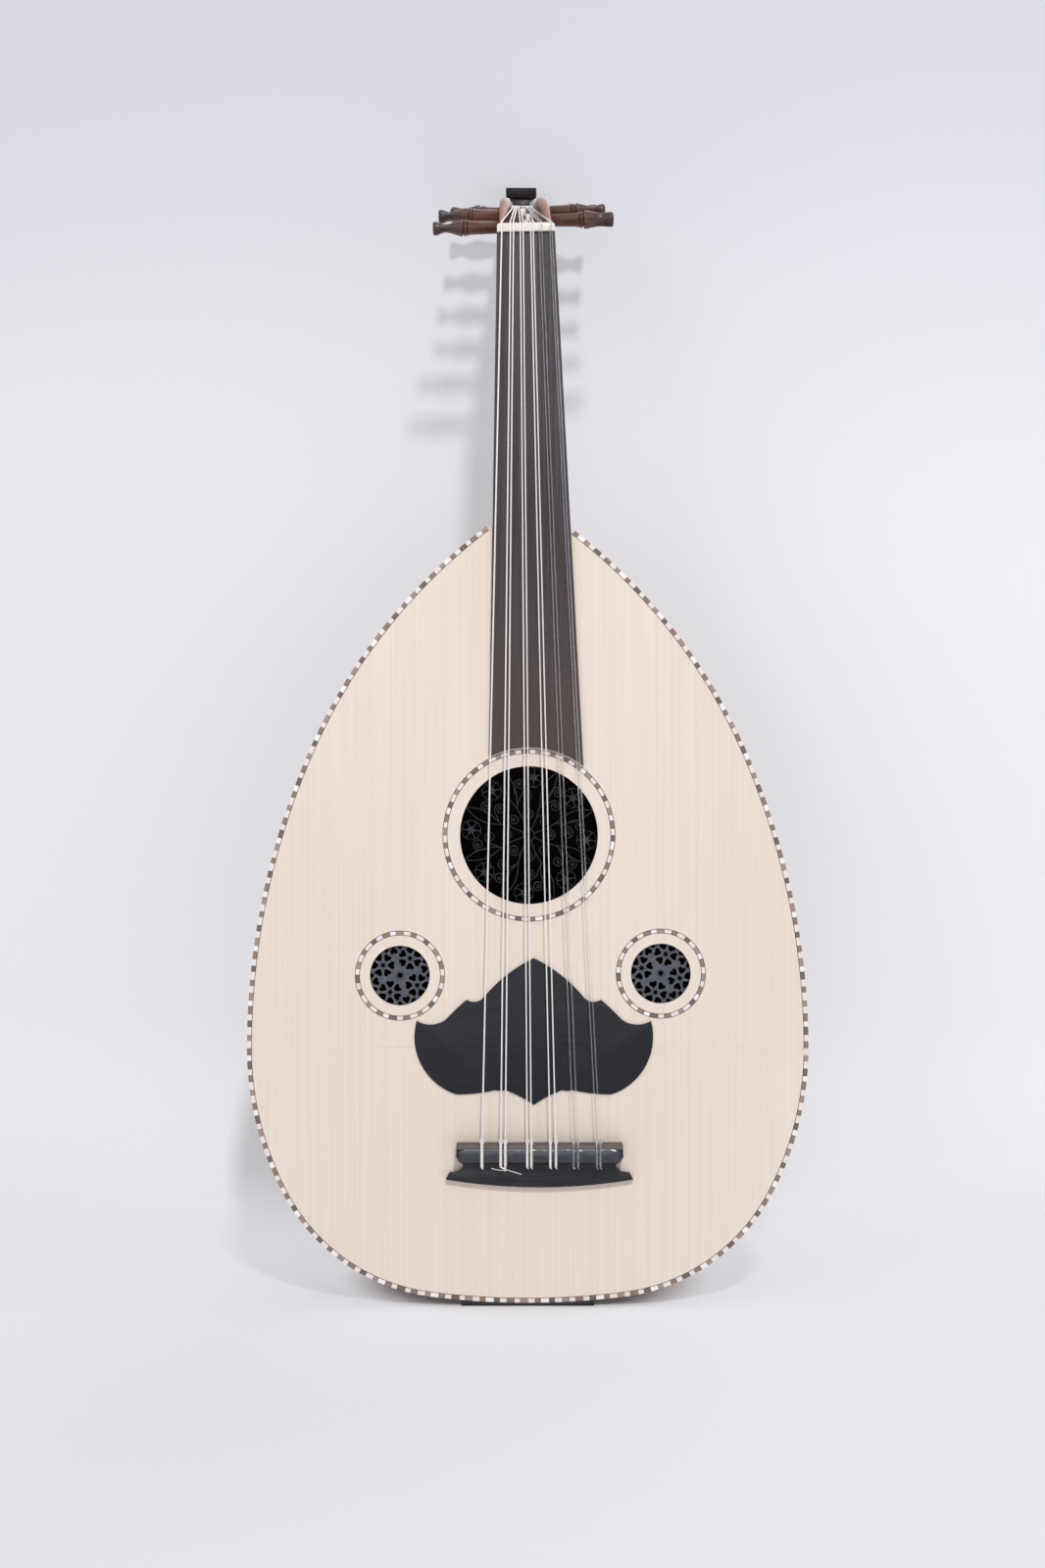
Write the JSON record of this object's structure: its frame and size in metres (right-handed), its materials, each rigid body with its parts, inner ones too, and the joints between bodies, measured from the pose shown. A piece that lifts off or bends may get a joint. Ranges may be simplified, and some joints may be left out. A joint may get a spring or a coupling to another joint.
{
  "type": "mini oud",
  "caption": "Short-necked fretless lute with a ribbed bowl, pierced rosettes, paired strings tied at a low bridge and a bent-back pegbox with turning friction pegs.",
  "frame": {"origin": "centre of the flat foot of the end clasp, under the tail; the instrument stands upright on it", "axes": "+Z from the tail to the pegbox, -Y is the side of the soundboard and strings, +Y the bowl's back, +X the treble side"},
  "size_m": [0.3322, 0.1745, 0.6957],
  "materials": {
    "spruce": "satin, fine straight grain",
    "walnut": "polished",
    "stained_beech": "worn satin stain",
    "ebony": "satin black stain",
    "rosewood": "satin, turned",
    "tile_inlay": "flush inlay, lacquered",
    "bone": "polished bone",
    "wound_string": "silver-plated winding",
    "nylon": "clear nylon",
    "rosette_fibre": "black fibre sheet, cut edges"
  },
  "bodies": {
    "instrument": {"rib_01": "walnut", "rib_02": "walnut", "rib_03": "walnut", "rib_04": "walnut", "rib_05": "walnut", "rib_06": "walnut", "rib_07": "walnut", "rib_08": "walnut", "rib_09": "walnut", "rib_10": "walnut", "rib_11": "walnut", "rib_12": "walnut", "rib_13": "walnut", "rib_14": "walnut", "rib_15": "walnut", "soundboard": "spruce", "tail_block": "spruce", "neck_block": "spruce", "brace_1": "spruce", "brace_2": "spruce", "brace_3": "spruce", "edge_binding": "tile_inlay", "main_tile_ring": "tile_inlay", "left_tile_ring": "tile_inlay", "right_tile_ring": "tile_inlay", "main_rosette": "rosette_fibre", "left_rosette": "rosette_fibre", "right_rosette": "rosette_fibre", "end_clasp": "ebony", "fingerboard": "ebony", "bridge": "ebony", "pickguard": "ebony", "finial": "ebony", "neck": "stained_beech", "pegbox_left_cheek": "stained_beech", "pegbox_right_cheek": "stained_beech", "pegbox_floor": "stained_beech", "nut": "bone", "string_6": "wound_string", "string_5a": "wound_string", "string_5b": "wound_string", "string_4a": "wound_string", "string_4b": "wound_string", "string_3a": "wound_string", "string_3b": "wound_string", "string_2a": "nylon", "string_2b": "nylon", "string_1a": "nylon", "string_1b": "nylon"},
    "peg_left_1": {"peg_left_1": "rosewood"},
    "peg_right_1": {"peg_right_1": "rosewood"},
    "peg_left_2": {"peg_left_2": "rosewood"},
    "peg_right_2": {"peg_right_2": "rosewood"},
    "peg_left_3": {"peg_left_3": "rosewood"},
    "peg_right_3": {"peg_right_3": "rosewood"},
    "peg_left_4": {"peg_left_4": "rosewood"},
    "peg_right_4": {"peg_right_4": "rosewood"},
    "peg_left_5": {"peg_left_5": "rosewood"},
    "peg_right_5": {"peg_right_5": "rosewood"},
    "peg_left_6": {"peg_left_6": "rosewood"}
  },
  "joints": [
    {"name": "turn_peg_left_1", "type": "hinge", "parent": "instrument", "child": "peg_left_1", "pos_m": [-0.00122, 0.00567, 0.64318], "axis": [0.9998, 0, 0.0194], "continuous": true},
    {"name": "turn_peg_right_1", "type": "hinge", "parent": "instrument", "child": "peg_right_1", "pos_m": [-0.00133, 0.01391, 0.64885], "axis": [0.9998, 0, 0.0194], "continuous": true},
    {"name": "turn_peg_left_2", "type": "hinge", "parent": "instrument", "child": "peg_left_2", "pos_m": [-0.00144, 0.02219, 0.65446], "axis": [0.9998, 0, 0.0194], "continuous": true},
    {"name": "turn_peg_right_2", "type": "hinge", "parent": "instrument", "child": "peg_right_2", "pos_m": [-0.00152, 0.03129, 0.65853], "axis": [0.9998, 0, 0.0194], "continuous": true},
    {"name": "turn_peg_left_3", "type": "hinge", "parent": "instrument", "child": "peg_left_3", "pos_m": [-0.00156, 0.04101, 0.66085], "axis": [0.9998, 0, 0.0194], "continuous": true},
    {"name": "turn_peg_right_3", "type": "hinge", "parent": "instrument", "child": "peg_right_3", "pos_m": [-0.00161, 0.05075, 0.6631], "axis": [0.9998, 0, 0.0194], "continuous": true},
    {"name": "turn_peg_left_4", "type": "hinge", "parent": "instrument", "child": "peg_left_4", "pos_m": [-0.00165, 0.0605, 0.66534], "axis": [0.9998, 0, 0.0194], "continuous": true},
    {"name": "turn_peg_right_4", "type": "hinge", "parent": "instrument", "child": "peg_right_4", "pos_m": [-0.00169, 0.07024, 0.66759], "axis": [0.9998, 0, 0.0194], "continuous": true},
    {"name": "turn_peg_left_5", "type": "hinge", "parent": "instrument", "child": "peg_left_5", "pos_m": [-0.00174, 0.07999, 0.66984], "axis": [0.9998, 0, 0.0194], "continuous": true},
    {"name": "turn_peg_right_5", "type": "hinge", "parent": "instrument", "child": "peg_right_5", "pos_m": [-0.00178, 0.08973, 0.67209], "axis": [0.9998, 0, 0.0194], "continuous": true},
    {"name": "turn_peg_left_6", "type": "hinge", "parent": "instrument", "child": "peg_left_6", "pos_m": [-0.00182, 0.09947, 0.67434], "axis": [0.9998, 0, 0.0194], "continuous": true}
  ]
}
